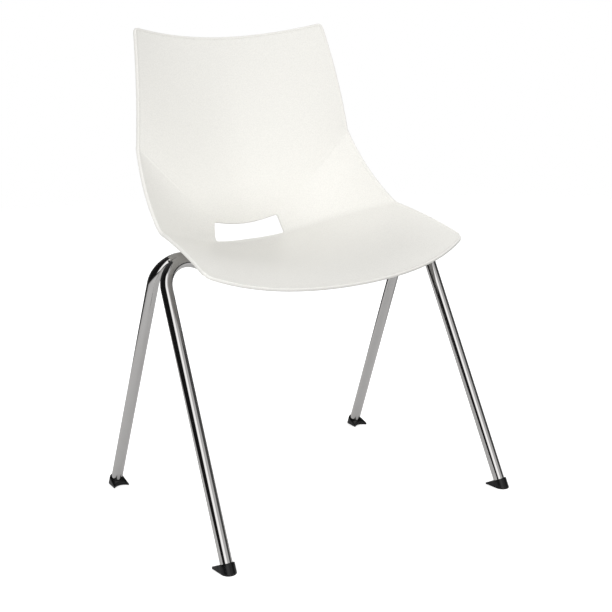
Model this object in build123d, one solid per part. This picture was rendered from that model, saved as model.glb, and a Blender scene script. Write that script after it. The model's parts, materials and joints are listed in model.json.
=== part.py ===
from build123d import *
import math
import os

# Stacking chair: a moulded one-piece seat shell on two chromed steel tubes, each bent into an inverted U.
# Millimetres. +Z is up, the sitter faces -Y, and the origin is on the floor below the middle of the chair.

# ---- seat shell ----
SHELL_WALL = 5.0
# The two long side edges of the shell each lie in a plane. Half the shell's width at depth y, height z
# is SIDE_OFFSET + SIDE_PER_DEPTH * y + SIDE_PER_HEIGHT * z.
SIDE_OFFSET = 308.0
SIDE_PER_DEPTH = -0.054
SIDE_PER_HEIGHT = -0.1263

# Depth and height of the shell's front surface, in the middle of the chair and at its side edge.
TOP_MIDDLE = (234.8, 798.0)
TOP_EDGE = (190.8, 820.0)
CREASE_MIDDLE = (167.3, 439.0)
CREASE_EDGE = (147.8, 621.5)
FOLD_MIDDLE = (157.3, 432.0)
FOLD_EDGE = (27.3, 493.4)
FRONT_MIDDLE = (-182.3, 409.4)
FRONT_EDGE = (-143.7, 451.8)
CREASE_SOFTNESS = 25.0
# Share of the fourth power in each row's way from its middle to its edge; the rest goes with the square.
CREASE_QUARTIC = -0.66
FOLD_QUARTICS = (0.45, -0.19)
FRONT_QUARTIC = 0.32
LUMBAR_BOW = 7.0
WING_BOW = 12.0
WING_NORMAL = (0.73, -0.68)
SEAT_DIP = -12.2
SEAT_CROWN = 33.6
SEAT_EDGE_BOW = 4.3
TOP_CORNER_RADIUS = 9.0
FRONT_CORNER_RADIUS = 12.0
SECTION_COUNT = 17
BACK_POINTS = 6
WING_POINTS = 6
SEAT_POINTS = 10

# ---- hand slot at the bottom of the back ----
SLOT_TOP_WIDTH = 134.0
SLOT_BOTTOM_WIDTH = 146.0
SLOT_TOP_HEIGHT = 472.0
SLOT_TOP_SAG = 11.0
SLOT_BOTTOM_HEIGHT = 440.0
SLOT_BOTTOM_SAG = 5.5
SLOT_CORNER_RADIUS = 4.0
SLOT_CUT_DEPTHS = (100.0, 260.0)

# ---- leg frames ----
TUBE_RADIUS = 10.0
TUBE_BORE = 8.5
BEND_RADIUS = 44.0
CROSSBAR_RADIUS = 420.0
CROSSBAR_SLOPE = 26.0
FRONT_LEG = {"floor_depth": -226.8, "floor_half_width": 285.0, "lean": 25.6, "crest": 447.0, "out": -1}
REAR_LEG = {"floor_depth": 209.0, "floor_half_width": 272.7, "lean": -23.3, "crest": 447.0, "out": 1}
FRONT_SPLAY = 2.15
REAR_SPLAY = 1.5

# ---- feet ----
FOOT_RADIUS = 13.0
SOCKET_CLEARANCE = 0.1
SOCKET_FLOOR = 4.0
HORN_REACH = 26.0
HORN_SPREAD = 14.5
HORN_NOTCH = 17.5
HORN_TIP_HEIGHT = 3.5
WASHER_THICKNESS = 1.5
WASHER_INSET = 0.3

# ---- seat brackets and their fasteners ----
BRACKET_X = 105.0
BRACKET_WIDTH = 36.0
BRACKET_GAUGE = 3.0
BRACKET_SADDLE = 1.0
BRACKET_CRANK = 9.0
BRACKET_OVERHANG = 14.0
BRACKET_RAMP = 8.0
BRACKET_FOOT = 24.0
BOSS_RADIUS = 9.0
BOSS_BITE = 3.0
INSERT_RADIUS = 4.5
INSERT_LENGTH = 11.0
SCREW_RADIUS = 3.0
SCREW_CLEARANCE = 0.05
SCREW_HOLE_RADIUS = 3.4
SCREW_GRIP = 9.0
SCREW_HEAD_RADIUS = 5.5
SCREW_HEAD_HEIGHT = 4.0
SCREW_SOCKET_WIDTH = 4.0
FASTENER_WASHER_RADIUS = 7.0
FASTENER_WASHER_GAUGE = 1.2
WELD_RADIUS = 2.2
WELD_OFFSET = 7.2
WELD_DROP = 1.2
WELD_INSET = 3.0
PAD_INSET = 3.0
PAD_REACH = 8.0

# ---- webs and stacking clips on the tubes ----
WEB_X = 226.0
WEB_WIDTH = 34.0
WEB_GAUGE = 3.0
CLIP_X = 55.0
CLIP_WALL = 3.0
CLIP_LENGTH = 30.0
CLIP_MOUTH = 15.0
CLIP_LIP = 3.0

# Size of a block that only has to reach past whatever it cuts or joins.
AMPLE = 160.0

SIDES = {"left": -1, "right": 1}


# ---------------------------------------------------------------- shell surface

def between(u, middle, edge, quartic=0.0):
    """Value across the shell: middle at u = 0, edge at u = 1 or -1, as an even polynomial in u."""
    return middle + (edge - middle) * ((1 - quartic) * u ** 2 + quartic * u ** 4)


def top_row(u):
    return between(u, TOP_MIDDLE[0], TOP_EDGE[0]), between(u, TOP_MIDDLE[1], TOP_EDGE[1])


def crease_row(u):
    """The crease falls straight from the side edges and is rounded where its two halves meet."""
    rise = CREASE_EDGE[1] - CREASE_MIDDLE[1] + CREASE_SOFTNESS
    base = CREASE_MIDDLE[1] - CREASE_SOFTNESS
    slope = math.sqrt(rise ** 2 - CREASE_SOFTNESS ** 2)
    height = base + math.hypot(CREASE_SOFTNESS, slope * u)
    return between(u, CREASE_MIDDLE[0], CREASE_EDGE[0], CREASE_QUARTIC), height


def fold_row(u):
    depth_quartic, height_quartic = FOLD_QUARTICS
    depth = between(u, FOLD_MIDDLE[0], FOLD_EDGE[0], depth_quartic)
    return depth, between(u, FOLD_MIDDLE[1], FOLD_EDGE[1], height_quartic)


def front_row(u):
    depth = between(u, FRONT_MIDDLE[0], FRONT_EDGE[0], FRONT_QUARTIC)
    return depth, between(u, FRONT_MIDDLE[1], FRONT_EDGE[1], FRONT_QUARTIC)


def along(start, end, s):
    return start[0] + (end[0] - start[0]) * s, start[1] + (end[1] - start[1]) * s


def back_profile(u, s):
    """Back panel from the top edge (s = 0) to the crease (s = 1), bowed forwards at the lumbar."""
    depth, height = along(top_row(u), crease_row(u), s)
    return depth - LUMBAR_BOW * 4 * s * (1 - s), height


def wing_profile(u, s):
    """Side facet from the crease (s = 0) to the fold (s = 1), bowed outwards and downwards."""
    depth, height = along(crease_row(u), fold_row(u), s)
    bow = WING_BOW * u ** 2 * 4 * s * (1 - s)
    return depth + bow * WING_NORMAL[0], height + bow * WING_NORMAL[1]


def seat_profile(u, s):
    """Seat from the fold (s = 0) to the front edge (s = 1), dished behind and crowned in front."""
    depth, height = along(fold_row(u), front_row(u), s)
    swell = between(u, SEAT_DIP + SEAT_CROWN * s, SEAT_EDGE_BOW)
    return depth, height + swell * 4 * s * (1 - s)


def surface_point(profile, u, s):
    depth, height = profile(u, s)
    half_width = SIDE_OFFSET + SIDE_PER_DEPTH * depth + SIDE_PER_HEIGHT * height
    return Vector(u * half_width, depth, height)


def section_normal(profile, u, s):
    """Outward direction within the section's own plane, and how far to go for a full wall along it."""
    step = 1e-3
    low, high = max(s - step, 0), min(s + step, 1)
    lengthwise = surface_point(profile, u, high) - surface_point(profile, u, low)
    crosswise = surface_point(profile, u + step, s) - surface_point(profile, u - step, s)
    true_normal = crosswise.cross(lengthwise).normalized()
    plane_normal = section_plane_normal(u)
    in_plane = plane_normal.cross(lengthwise).normalized()
    if in_plane.dot(true_normal) < 0:
        true_normal = true_normal * -1
    return in_plane, SHELL_WALL / in_plane.dot(true_normal)


def section_plane_normal(u):
    return Vector(1, -u * SIDE_PER_DEPTH, -u * SIDE_PER_HEIGHT).normalized()


def mitred(first, second):
    """Offset at a corner between two stretches, each given as (direction, distance)."""
    (dir_a, dist_a), (dir_b, dist_b) = first, second
    bisector = (dir_a + dir_b).normalized()
    return bisector * (0.5 * (dist_a + dist_b) / bisector.dot(dir_a))


def shell_section(u):
    """Closed outline of the wall where the shell is cut along u: front surface, lip, back surface, lip."""
    stretches = [(back_profile, BACK_POINTS), (wing_profile, WING_POINTS), (seat_profile, SEAT_POINTS)]
    front, back, params = [], [], []
    for profile, count in stretches:
        fractions = [k / (count - 1) for k in range(count)]
        params.append(fractions)
        front.append([surface_point(profile, u, s) for s in fractions])
        offsets = [section_normal(profile, u, s) for s in fractions]
        back.append([p + d * dist for p, (d, dist) in zip(front[-1], offsets)])
    for k in (0, 1):
        corner = front[k][-1]
        end = section_normal(stretches[k][0], u, 1.0)
        start = section_normal(stretches[k + 1][0], u, 0.0)
        back[k][-1] = back[k + 1][0] = corner + mitred(end, start)
    edges = [Edge.make_spline(f, parameters=p) for f, p in zip(front, params)]
    edges.append(Edge.make_line(front[-1][-1], back[-1][-1]))
    edges += [Edge.make_spline(b[::-1], parameters=p) for b, p in zip(back[::-1], params[::-1])]
    edges.append(Edge.make_line(back[0][0], front[0][0]))
    return Wire(edges)


def seat_underside(x, depth):
    """Height of the seat's lower face at a place on the seat."""
    u, s = x / SIDE_OFFSET, 0.5
    for _ in range(30):
        low, high = 0.0, 1.0
        for _ in range(30):
            s = 0.5 * (low + high)
            if seat_profile(u, s)[0] > depth:
                low = s
            else:
                high = s
        point = surface_point(seat_profile, u, s)
        u = u * x / point.X if abs(x) > 1 else 0.0
    return point.Z - SHELL_WALL


def slot_tool():
    """Cutter for the hand slot: a four-sided outline with a sagging top and bottom, pushed along Y."""
    top, bottom = SLOT_TOP_WIDTH / 2, SLOT_BOTTOM_WIDTH / 2
    nearest, farthest = SLOT_CUT_DEPTHS
    plane = Plane(origin=(0, farthest, 0), x_dir=(-1, 0, 0), z_dir=(0, 1, 0))
    with BuildSketch(plane) as outline:
        with BuildLine():
            upper = ThreePointArc((-top, SLOT_TOP_HEIGHT), (0, SLOT_TOP_HEIGHT - SLOT_TOP_SAG),
                                  (top, SLOT_TOP_HEIGHT))
            lower = ThreePointArc((-bottom, SLOT_BOTTOM_HEIGHT), (0, SLOT_BOTTOM_HEIGHT - SLOT_BOTTOM_SAG),
                                  (bottom, SLOT_BOTTOM_HEIGHT))
            Line(upper @ 0, lower @ 0)
            Line(upper @ 1, lower @ 1)
        make_face()
        fillet(outline.vertices(), SLOT_CORNER_RADIUS)
    return extrude(outline.sketch, amount=nearest - farthest)


def corner_tool(profile, s, inner, side, radius):
    """Cutter that rounds a corner of the shell: what lies outside a circle that touches both its edges."""
    corner = surface_point(profile, side, s)
    lengthwise = (surface_point(profile, side, inner) - corner).normalized()
    crosswise = (surface_point(profile, side * 0.9, s) - corner).normalized()
    half_angle = math.radians(lengthwise.get_angle(crosswise)) / 2
    centre = corner + (lengthwise + crosswise).normalized() * (radius / math.sin(half_angle))
    touch = [corner + edge * (radius / math.tan(half_angle)) for edge in (lengthwise, crosswise)]
    outer = [centre + (point - centre) * 3 for point in (touch[0], corner, touch[1])]
    normal = lengthwise.cross(crosswise)
    blank = make_face(Polyline(centre, *outer, close=True)) - Plane(origin=centre, z_dir=normal) * Circle(radius)
    return extrude(blank, amount=4 * SHELL_WALL, dir=normal, both=True)


def seat_shell():
    count = SECTION_COUNT - 1
    shell = Solid.make_loft([shell_section(2 * k / count - 1) for k in range(SECTION_COUNT)])
    for side in SIDES.values():
        shell = shell - corner_tool(back_profile, 0, 0.05, side, TOP_CORNER_RADIUS)
        shell = shell - corner_tool(seat_profile, 1, 0.95, side, FRONT_CORNER_RADIUS)
    return shell - slot_tool()


# ---------------------------------------------------------------- leg frames

def leg_plane(leg):
    """Plane of one bent tube: local X across the chair, local Y up the legs."""
    lean = math.radians(leg["lean"])
    return Plane(origin=(0, leg["floor_depth"], 0), x_dir=(1, 0, 0), z_dir=(0, -math.cos(lean), math.sin(lean)))


def leg_corner(leg, splay):
    """Where a leg's line and the crossbar's first run would cross, in the tube's plane."""
    slope = math.radians(CROSSBAR_SLOPE)
    crest = leg["crest"] / math.cos(math.radians(leg["lean"]))
    rise = crest + BEND_RADIUS * ((1 + math.sin(slope)) / math.cos(slope) - 1)
    return leg["floor_half_width"] - rise * math.tan(math.radians(splay)), rise


def crossbar_centre(leg, splay):
    """Height, in the tube's plane, of the centre of the crossbar's long upward curve."""
    slope = math.radians(CROSSBAR_SLOPE)
    half_width, rise = leg_corner(leg, splay)
    return rise - half_width * math.tan(slope) + CROSSBAR_RADIUS / math.cos(slope)


def crossbar_point(leg, splay, x):
    """Point on the crossbar's axis at x, and the unit direction of the tube there."""
    plane = leg_plane(leg)
    drop = math.sqrt(CROSSBAR_RADIUS ** 2 - x ** 2)
    local = (x, crossbar_centre(leg, splay) - drop)
    point = plane.origin + plane.x_dir * local[0] + plane.y_dir * local[1]
    direction = plane.x_dir * drop + plane.y_dir * x
    return point, direction.normalized()


def leg_axis(leg, splay, side):
    """Floor point and unit direction, upwards, of one leg."""
    plane = leg_plane(leg)
    angle = math.radians(splay)
    direction = plane.y_dir * math.cos(angle) - plane.x_dir * (side * math.sin(angle))
    return Vector(side * leg["floor_half_width"], leg["floor_depth"], 0), direction


def tube_start(leg, splay, side):
    """Middle of the tube's end face, just above the steel washer in the foot."""
    floor, direction = leg_axis(leg, splay, side)
    tilt = math.acos(direction.Z)
    lift = SOCKET_FLOOR + (TUBE_RADIUS + SOCKET_CLEARANCE) * math.sin(tilt)
    return floor + direction * (lift / direction.Z + WASHER_THICKNESS)


def tube_path(leg, splay):
    plane = leg_plane(leg)
    half_width, rise = leg_corner(leg, splay)
    vertex = rise - half_width * math.tan(math.radians(CROSSBAR_SLOPE))
    start = plane.to_local_coords(tube_start(leg, splay, -1))
    points = [(start.X, start.Y), (-half_width, rise), (0, vertex), (half_width, rise), (-start.X, start.Y)]
    line = FilletPolyline(*points, radius=[BEND_RADIUS, CROSSBAR_RADIUS, BEND_RADIUS])
    return plane.from_local_coords(line)


def swept_round(path, radius):
    profile = Plane(origin=path @ 0, z_dir=path % 0) * Circle(radius)
    return sweep(profile, path=path)


def leg_frame(leg, splay):
    path = tube_path(leg, splay)
    return swept_round(path, TUBE_RADIUS) - swept_round(path, TUBE_BORE)


# ---------------------------------------------------------------- feet

def round_bar(start, direction, radius, length):
    return Plane(origin=start, z_dir=direction) * Cylinder(radius, length,
                                                           align=(Align.CENTER, Align.CENTER, Align.MIN))


def horn_outline(inward):
    """Plan of the two pointed horns with the hollow between them; inward is +1 or -1 along Y."""
    reach, notch = HORN_REACH * inward, HORN_NOTCH * inward
    with BuildSketch() as outline:
        with BuildLine():
            Polyline((-HORN_SPREAD, reach), (-FOOT_RADIUS, 0), (FOOT_RADIUS, 0), (HORN_SPREAD, reach))
            ThreePointArc((HORN_SPREAD, reach), (0, notch), (-HORN_SPREAD, reach))
        make_face()
    return outline.sketch


def foot(leg, splay, side):
    """Moulded foot: a cup round the tube's end, a rounded heel and two horns, level with the floor below."""
    floor, direction = leg_axis(leg, splay, side)
    inward = -leg["out"]
    cup = round_bar(floor - direction * AMPLE / 2, direction, FOOT_RADIUS, AMPLE)
    horns = Pos(floor.X, floor.Y, 0) * extrude(horn_outline(inward), amount=AMPLE)
    above_floor = Pos(floor.X, floor.Y, 0) * Box(AMPLE, AMPLE, AMPLE, align=(Align.CENTER, Align.CENTER, Align.MIN))
    rim = floor + Vector(0, inward * HORN_REACH, HORN_TIP_HEIGHT)
    below_rim = Plane(origin=rim, z_dir=direction) * Box(
        2 * AMPLE, 2 * AMPLE, 2 * AMPLE, align=(Align.CENTER, Align.CENTER, Align.MAX))
    body = (cup + horns) & above_floor & below_rim
    seat = tube_start(leg, splay, side) - direction * WASHER_THICKNESS
    return body - round_bar(seat, direction, TUBE_RADIUS + SOCKET_CLEARANCE, AMPLE)


def foot_washer(leg, splay, side):
    direction = leg_axis(leg, splay, side)[1]
    seat = tube_start(leg, splay, side) - direction * WASHER_THICKNESS
    return round_bar(seat, direction, TUBE_RADIUS - WASHER_INSET, WASHER_THICKNESS)


# ---------------------------------------------------------------- seat brackets

def bracket_frame(side):
    """Plane of a bracket: local X across the chair along the tubes, local Z square to the plate."""
    front, front_dir = crossbar_point(FRONT_LEG, FRONT_SPLAY, side * BRACKET_X)
    rear, rear_dir = crossbar_point(REAR_LEG, REAR_SPLAY, side * BRACKET_X)
    rearwards = (rear - front).normalized()
    across = (front_dir + rear_dir).normalized()
    up = across.cross(rearwards).normalized()
    return Plane(origin=(front + rear) * 0.5, x_dir=across, z_dir=up), (rear - front).length / 2


def bracket_profile(reach):
    """Side view of the pressed plate: flat over the tubes, then cranked down to a foot at each end."""
    base = TUBE_RADIUS - BRACKET_SADDLE
    flat = reach + BRACKET_OVERHANG
    ramp = flat + BRACKET_RAMP
    tip = ramp + BRACKET_FOOT
    half = [(flat, base), (ramp, base - BRACKET_CRANK), (tip, base - BRACKET_CRANK)]
    lower = [(-y, z) for y, z in reversed(half)] + half
    upper = [(y, z + BRACKET_GAUGE) for y, z in reversed(lower)]
    return Polyline(*lower, *upper, close=True)


def screw_places(side):
    """The plane of each screw, on the upper face of a bracket's foot, pointing up into the shell."""
    frame, reach = bracket_frame(side)
    height = TUBE_RADIUS - BRACKET_SADDLE - BRACKET_CRANK + BRACKET_GAUGE
    depth = reach + BRACKET_OVERHANG + BRACKET_RAMP + BRACKET_FOOT / 2
    spots = [frame.origin + frame.y_dir * (end * depth) + frame.z_dir * height for end in (-1, 1)]
    return [Plane(origin=spot, x_dir=frame.x_dir, z_dir=frame.z_dir) for spot in spots]


def seat_bracket(side, tubes):
    frame, reach = bracket_frame(side)
    side_view = Plane(origin=frame.origin, x_dir=frame.y_dir, z_dir=frame.x_dir)
    plate = extrude(side_view * make_face(bracket_profile(reach)), amount=BRACKET_WIDTH / 2, both=True)
    for place in screw_places(side):
        plate = plate - place * Cylinder(SCREW_HOLE_RADIUS, BRACKET_GAUGE * 4)
    return plate - tubes


def frame_pad(side, shell):
    """Rubber strip that fills the space between a bracket's flat and the shell above it."""
    frame, reach = bracket_frame(side)
    length, width = 2 * reach - 2 * PAD_INSET, BRACKET_WIDTH - 2 * PAD_INSET
    base = Plane(origin=frame.origin + frame.z_dir * (TUBE_RADIUS - BRACKET_SADDLE + BRACKET_GAUGE),
                 x_dir=frame.x_dir, z_dir=frame.z_dir)
    strip = base * Box(width, length, PAD_REACH, align=(Align.CENTER, Align.CENTER, Align.MIN))
    return largest(strip - shell)


def bracket_welds(tubes, brackets):
    """Weld beads along both sides of each tube where a bracket's plate sits on it."""
    beads = []
    for side in SIDES.values():
        frame, reach = bracket_frame(side)
        for tube_y in (-reach, reach):
            for edge in (-1, 1):
                spot = (frame.origin + frame.y_dir * (tube_y + edge * WELD_OFFSET)
                        + frame.z_dir * (TUBE_RADIUS - BRACKET_SADDLE - WELD_DROP)
                        - frame.x_dir * (BRACKET_WIDTH / 2 - WELD_INSET))
                bead = round_bar(spot, frame.x_dir, WELD_RADIUS, BRACKET_WIDTH - 2 * WELD_INSET)
                beads.append(largest(bead - tubes - brackets))
    return beads


def largest(shape):
    return max(shape.solids(), key=lambda s: s.volume)


def boss(place):
    """Round post moulded under the seat, from a bracket's foot up into the shell's wall."""
    top = seat_underside(place.origin.X, place.origin.Y) + BOSS_BITE
    height = (top - place.origin.Z) / place.z_dir.Z
    post = place * Cylinder(BOSS_RADIUS, height, align=(Align.CENTER, Align.CENTER, Align.MIN))
    hole = place * Cylinder(INSERT_RADIUS, INSERT_LENGTH + 1, align=(Align.CENTER, Align.CENTER, Align.MIN))
    return post, hole


def shell_insert(place):
    sleeve = place * Cylinder(INSERT_RADIUS, INSERT_LENGTH, align=(Align.CENTER, Align.CENTER, Align.MIN))
    bore = place * Cylinder(SCREW_RADIUS + SCREW_CLEARANCE, 4 * INSERT_LENGTH)
    return sleeve - bore


def seat_screw(place):
    """Cap screw with a hexagon socket, its head below the bracket's foot."""
    under_head = -(BRACKET_GAUGE + FASTENER_WASHER_GAUGE)
    shank = place * Pos(0, 0, under_head) * Cylinder(SCREW_RADIUS, SCREW_GRIP - under_head,
                                                     align=(Align.CENTER, Align.CENTER, Align.MIN))
    head = place * Pos(0, 0, under_head) * Cylinder(SCREW_HEAD_RADIUS, SCREW_HEAD_HEIGHT,
                                                    align=(Align.CENTER, Align.CENTER, Align.MAX))
    key = RegularPolygon(SCREW_SOCKET_WIDTH / 2, 6, major_radius=False)
    socket = place * Pos(0, 0, under_head - SCREW_HEAD_HEIGHT) * extrude(key, amount=SCREW_HEAD_HEIGHT / 2)
    return shank + head - socket


def seat_washer(place):
    ring = Cylinder(FASTENER_WASHER_RADIUS, FASTENER_WASHER_GAUGE,
                    align=(Align.CENTER, Align.CENTER, Align.MAX))
    hole = Cylinder(SCREW_HOLE_RADIUS, FASTENER_WASHER_GAUGE * 4)
    return place * Pos(0, 0, -BRACKET_GAUGE) * (ring - hole)


# ---------------------------------------------------------------- web plates and stacking clips

def bend_centre(leg, splay, side):
    """Centre of a leg's bend, in space."""
    plane = leg_plane(leg)
    crest = leg["crest"] / math.cos(math.radians(leg["lean"]))
    local_x = leg["floor_half_width"] - crest * math.tan(math.radians(splay)) - BEND_RADIUS
    return plane.origin + plane.x_dir * (side * local_x) + plane.y_dir * (crest - BEND_RADIUS)


def tube_web(side, tubes):
    """Small plate welded between the two tubes where their bends come closest, under the shell's edge."""
    front = bend_centre(FRONT_LEG, FRONT_SPLAY, side) + leg_plane(FRONT_LEG).y_dir * BEND_RADIUS
    rear = bend_centre(REAR_LEG, REAR_SPLAY, side) + leg_plane(REAR_LEG).y_dir * BEND_RADIUS
    middle = (front + rear) * 0.5
    spread = abs(rear.Y - front.Y)
    plate = Pos(side * WEB_X, middle.Y, middle.Z) * Box(WEB_WIDTH, spread, WEB_GAUGE)
    return largest(plate - tubes)


def stacking_clip(leg, splay, side, tube):
    """Plastic sleeve, open above, that snaps on the crossbar and keeps stacked chairs apart."""
    point, direction = crossbar_point(leg, splay, side * CLIP_X)
    place = Plane(origin=point, x_dir=leg_plane(leg).z_dir, z_dir=direction)
    sleeve = place * Cylinder(TUBE_RADIUS + CLIP_WALL, CLIP_LENGTH)
    up = direction.cross(leg_plane(leg).z_dir) * -1
    mouth = Plane(origin=point + up * CLIP_LIP, x_dir=direction, z_dir=up) * Box(
        CLIP_LENGTH * 2, CLIP_MOUTH, AMPLE, align=(Align.CENTER, Align.CENTER, Align.MIN))
    return largest(sleeve - mouth - tube)


# ---------------------------------------------------------------- the chair

def build():
    legs = {"front": (FRONT_LEG, FRONT_SPLAY), "rear": (REAR_LEG, REAR_SPLAY)}
    bars = {name: swept_round(tube_path(*leg), TUBE_RADIUS) for name, leg in legs.items()}
    tubes = bars["front"] + bars["rear"]
    nodes = {name + "_leg_frame": leg_frame(*leg) for name, leg in legs.items()}

    shell = seat_shell()
    places = [place for side in SIDES.values() for place in screw_places(side)]
    brackets = {name: seat_bracket(side, tubes) for name, side in SIDES.items()}
    all_brackets = brackets["left"] + brackets["right"]
    for name, side in SIDES.items():
        nodes[name + "_seat_bracket"] = brackets[name]
        nodes[name + "_frame_pad"] = frame_pad(side, shell)
        nodes[name + "_tube_web"] = tube_web(side, tubes)
    for place in places:
        post, hole = boss(place)
        shell = shell + post - hole
    nodes["seat_shell"] = shell
    nodes["shell_inserts"] = Compound([shell_insert(place) for place in places])
    nodes["seat_screws"] = Compound([seat_screw(place) for place in places])
    nodes["seat_washers"] = Compound([seat_washer(place) for place in places])
    nodes["bracket_welds"] = Compound(bracket_welds(tubes, all_brackets))
    washers = []
    for end, leg in legs.items():
        for name, side in SIDES.items():
            nodes[f"{end}_{name}_foot"] = foot(*leg, side)
            nodes[f"{end}_{name}_stacking_clip"] = stacking_clip(*leg, side, bars[end])
            washers.append(foot_washer(*leg, side))
    nodes["foot_washers"] = Compound(washers)
    return nodes


os.makedirs("parts", exist_ok=True)
for node, shape in build().items():
    export_step(shape, f"parts/{node}.step")
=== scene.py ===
"""Looks of a stacking chair: a moulded seat shell, bent chromed tubes and moulded feet around its CAD model."""

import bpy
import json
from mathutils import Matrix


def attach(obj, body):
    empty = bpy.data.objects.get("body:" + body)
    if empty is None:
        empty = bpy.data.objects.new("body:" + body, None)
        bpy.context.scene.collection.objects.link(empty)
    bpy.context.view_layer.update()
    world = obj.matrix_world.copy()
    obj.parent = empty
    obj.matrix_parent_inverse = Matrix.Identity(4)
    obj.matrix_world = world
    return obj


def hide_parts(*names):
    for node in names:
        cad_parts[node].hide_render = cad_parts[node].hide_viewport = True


bl_info = {
    "name": "Stacking chair",
    "version": (1, 0, 0),
    "blender": (4, 5, 0),
    "location": "3D View > Sidebar > Chair",
    "description": "Makes the chair's seat shell, tubes, feet and small parts around its CAD model",
    "category": "Add Mesh",
}

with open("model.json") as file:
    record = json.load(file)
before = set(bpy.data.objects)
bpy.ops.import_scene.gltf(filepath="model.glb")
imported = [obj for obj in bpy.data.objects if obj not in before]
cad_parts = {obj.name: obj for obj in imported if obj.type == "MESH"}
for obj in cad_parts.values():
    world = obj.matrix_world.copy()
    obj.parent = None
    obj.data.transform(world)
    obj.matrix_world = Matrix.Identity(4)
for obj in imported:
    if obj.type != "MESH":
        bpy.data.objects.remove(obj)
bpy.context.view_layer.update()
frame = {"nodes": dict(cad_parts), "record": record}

import json
import math

import bmesh
import bpy
import numpy as np
from mathutils import Matrix

BODY = "root"
PREFIX = "chair_"

# ---- sizes, in metres
# Half the shell's width at a depth y and a height z is OFFSET + PER_DEPTH * y + PER_HEIGHT * z.
SIDE_OFFSET = 0.308
SIDE_PER_DEPTH = -0.054
SIDE_PER_HEIGHT = -0.1263

# Depth and height of the shell's front surface along its four cross lines: in the middle, at the edge, and the
# share of the fourth power of u in the way from one to the other.
TOP_LINE = ((0.2348, 0.7980), (0.1908, 0.8200), (0.0, 0.0))
CREASE_LINE = ((0.1673, 0.4390), (0.1478, 0.6215), (-0.66, 0.0))
FOLD_LINE = ((0.1573, 0.4320), (0.0273, 0.4934), (0.45, -0.19))
FRONT_LINE = ((-0.1823, 0.4094), (-0.1437, 0.4518), (0.32, 0.32))
CREASE_SOFTNESS = 0.025
LUMBAR_BOW = 0.007
WING_BOW = 0.012
WING_NORMAL = (0.73, -0.68)
SEAT_DIP = -0.0122
SEAT_CROWN = 0.0336
SEAT_EDGE_BOW = 0.0043
TOP_CORNER_RADIUS = 0.009
FRONT_CORNER_RADIUS = 0.012

# Half width, height and sag of the hand slot's top and bottom edges.
SLOT_TOP = (0.067, 0.472, 0.011)
SLOT_BOTTOM = (0.073, 0.440, 0.0055)
SLOT_CORNER = 0.005
SLOT_FRONT_EDGE = 0.0024
SLOT_BACK_EDGE = 0.0012

TUBE_RADIUS = 0.010
TUBE_BORE = 0.0085
BEND_RADIUS = 0.044
CROSSBAR_RADIUS = 0.420
CROSSBAR_SLOPE = 26.0
LEGS = {
    "front": {"depth": -0.2268, "half_width": 0.2850, "lean": 25.6, "crest": 0.447, "splay": 2.15, "inward": 1},
    "rear": {"depth": 0.2090, "half_width": 0.2727, "lean": -23.3, "crest": 0.447, "splay": 1.5, "inward": -1},
}
SIDES = {"left": -1, "right": 1}

FOOT_RADIUS = 0.013
HORN_REACH = 0.026
HORN_SPREAD = 0.0145
HORN_NOTCH = 0.0175
HORN_TIP_HEIGHT = 0.0035
SOCKET_FLOOR = 0.004
SOCKET_CLEARANCE = 0.0001
WASHER_THICKNESS = 0.0015
BOSS_RADIUS = 0.009
BOSS_BORE = 0.0045
BOSS_FLARE = 0.005
BOSS_EDGE = 0.0006

# The camera's place in metres, its direction and roll in degrees, and its lens and sensor in millimetres.
CAMERA_PLACE = (-1.0843, -1.66095, 0.8282)
CAMERA_AZIMUTH = -33.602
CAMERA_ELEVATION = 13.944
CAMERA_ROLL = -1.13
CAMERA_LENS = 68.13
CAMERA_SENSOR = 36.0

# The studio that shines in the chrome: azimuths and elevations in degrees, softness of the edges, brightness.
SCREENS = (
    ((224, 266), (-10, 62), 0.07, 1.10),
    ((258, 312), (-10, 62), 0.07, 0.50),
    ((252, 268), (55, 150), 0.06, 0.75),
)
STUDIO_LEVEL = 0.008
DARK_SIDE = 25.0
DARK_SIDE_LEVEL = 0.06
DARK_SIDE_SOFTNESS = 0.6
LIT_FLOOR_CENTRE = (-0.35, 0.10, 0.0)
FLOOR_FADE = (1.6, 3.6)
# How bright the floor is next to its own colour, in reflections and as a source of soft light.
FLOOR_MIRRORED = 0.62
FLOOR_BOUNCED = 0.22
LIGHT_SIDE = (325.0, 5.0)
KEY_PLACE = (-1.9, -1.7, 0.55)
KEY_TARGET = (0.12, 0.05, 0.46)
KEY_SIZE = (0.9, 0.9)
KEY_SPREAD = 60.0


# ---- settings a user may change

class ShellSettings(bpy.types.PropertyGroup):
    """Sizes and finish of the seat shell."""
    wall: bpy.props.FloatProperty(
        name="Wall", description="Thickness of the moulded wall", default=0.005, unit="LENGTH")
    bead: bpy.props.FloatProperty(
        name="Rim bead", description="How far the rim stands proud of the shell's front", default=0.0011,
        unit="LENGTH")
    rim_corner: bpy.props.FloatProperty(
        name="Rim corner", description="Radius of the two corners of the rim", default=0.0020,
        unit="LENGTH")
    crease_blend: bpy.props.FloatProperty(
        name="Crease blend", description="How far the side crease is rounded each way", default=0.0035,
        unit="LENGTH")
    fold_blend: bpy.props.FloatProperty(
        name="Fold blend", description="How far the seat's rear fold is rounded each way", default=0.012,
        unit="LENGTH")
    colour: bpy.props.FloatVectorProperty(
        name="Colour", description="Colour of the moulded plastic", default=(0.865, 0.855, 0.815),
        subtype="COLOR", min=0.0, max=1.0)
    grain: bpy.props.FloatProperty(
        name="Grain size", description="Size of the moulded grain", default=0.0019, unit="LENGTH")


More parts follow.
